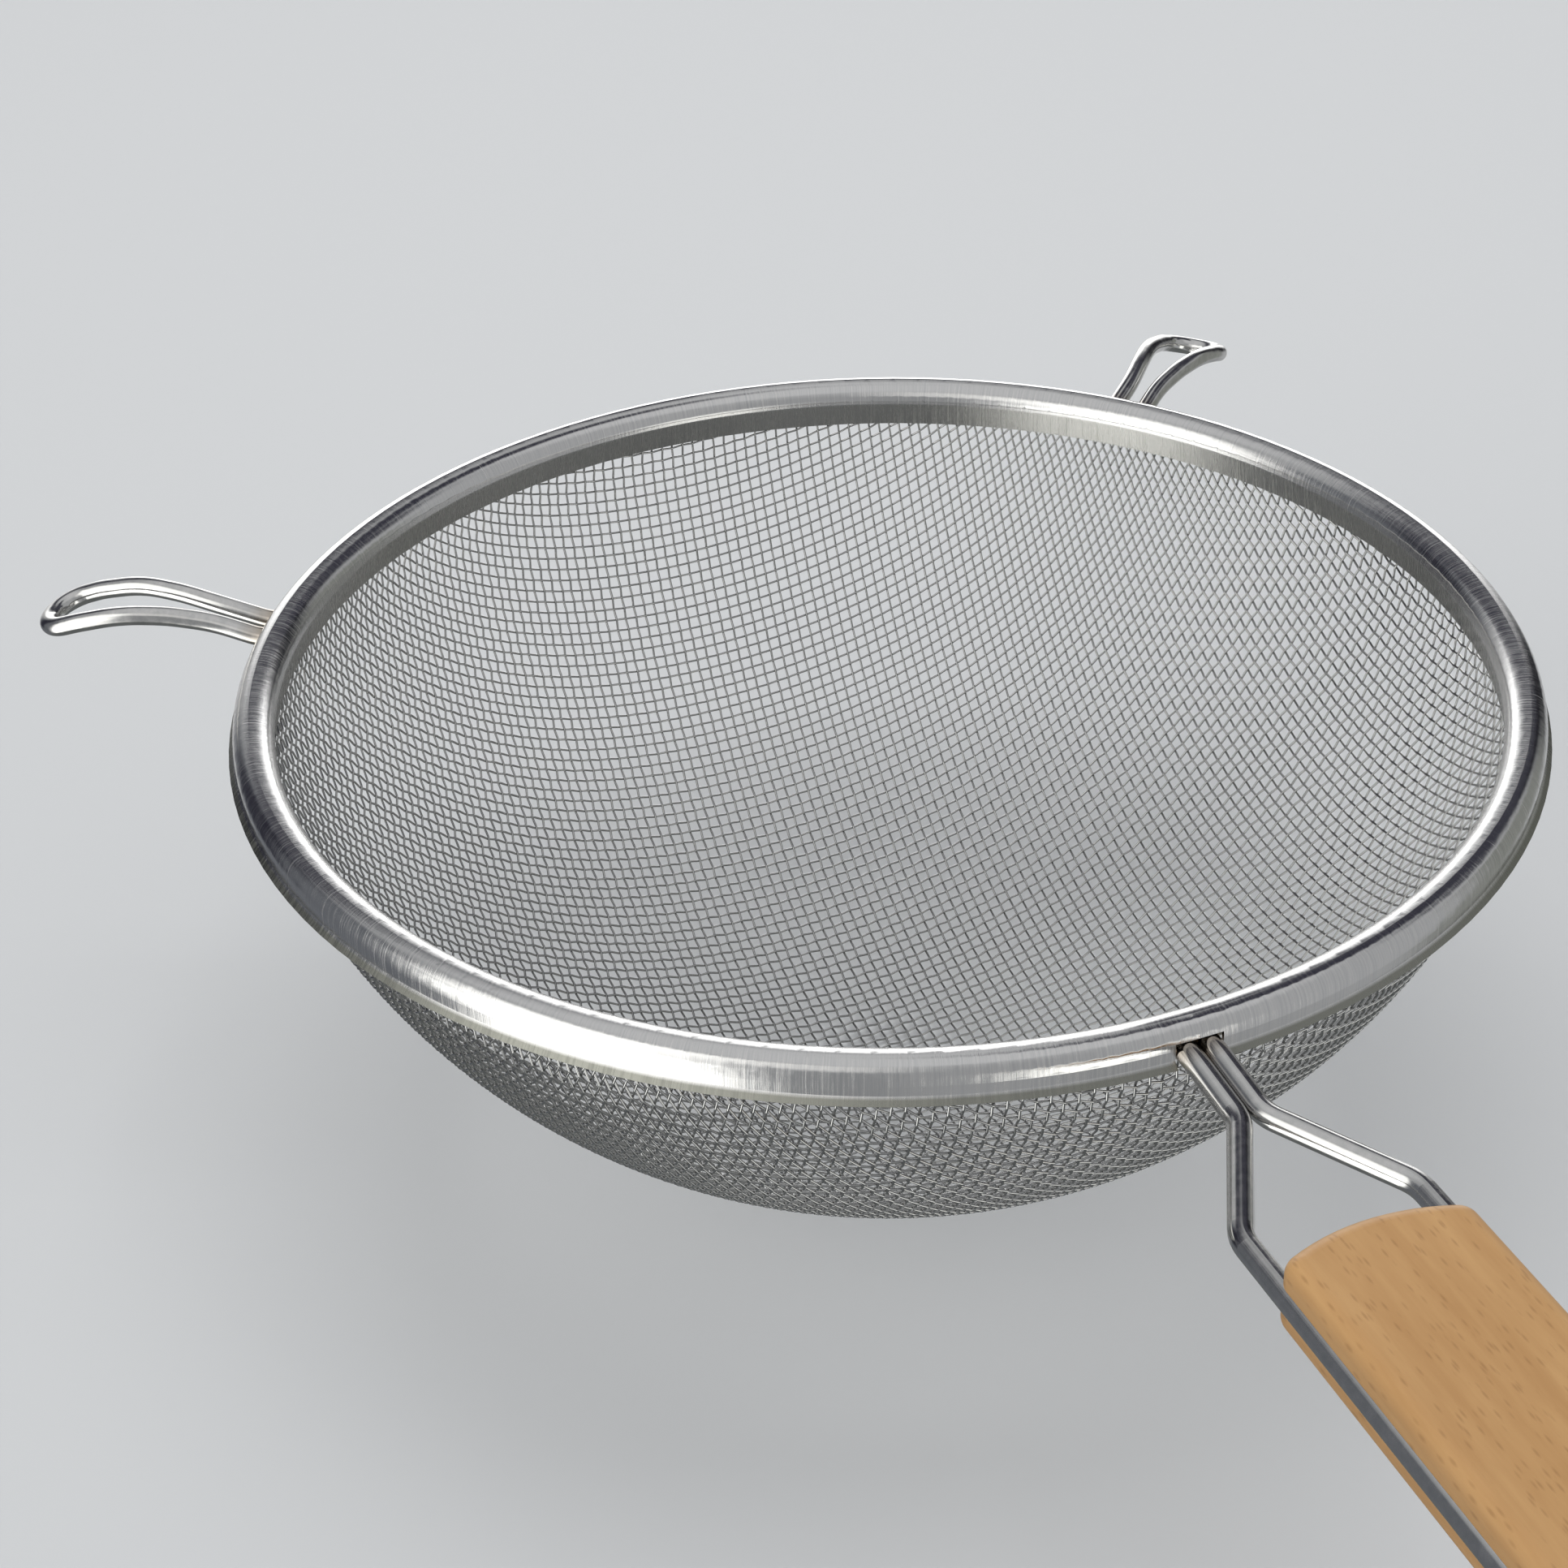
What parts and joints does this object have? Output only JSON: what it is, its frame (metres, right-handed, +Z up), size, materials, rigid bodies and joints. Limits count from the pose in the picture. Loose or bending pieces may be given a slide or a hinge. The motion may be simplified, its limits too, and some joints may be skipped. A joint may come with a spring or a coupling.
{
  "type": "wire mesh flour sieve",
  "caption": "Hand-held sieve: woven wire bowl in a rolled steel rim, with a U-bent wire handle, a flat beech grip, and two wire loops that rest on a pot's rim.",
  "frame": {"origin": "lowest point of the bowl, on the bowl's axis", "axes": "+X along the handle, away from the bowl; +Z up out of the bowl's mouth, square to the rim; +Y makes it right-handed"},
  "size_m": [0.3501, 0.2005, 0.0729],
  "materials": {
    "band_steel": "bright rolled strip with fine scratches across the bead",
    "cloth_steel": "drawn wire, plain weave",
    "wire_steel": "polished drawn wire",
    "beech": "plain beech, sanded, thinly oiled"
  },
  "bodies": {
    "root": {"rim_band": "band_steel", "rim_hoop": "wire_steel", "mesh_bowl": "cloth_steel", "back_rest": "wire_steel", "left_rest": "wire_steel", "handle_wire": "wire_steel", "grip": "beech"}
  },
  "joints": []
}
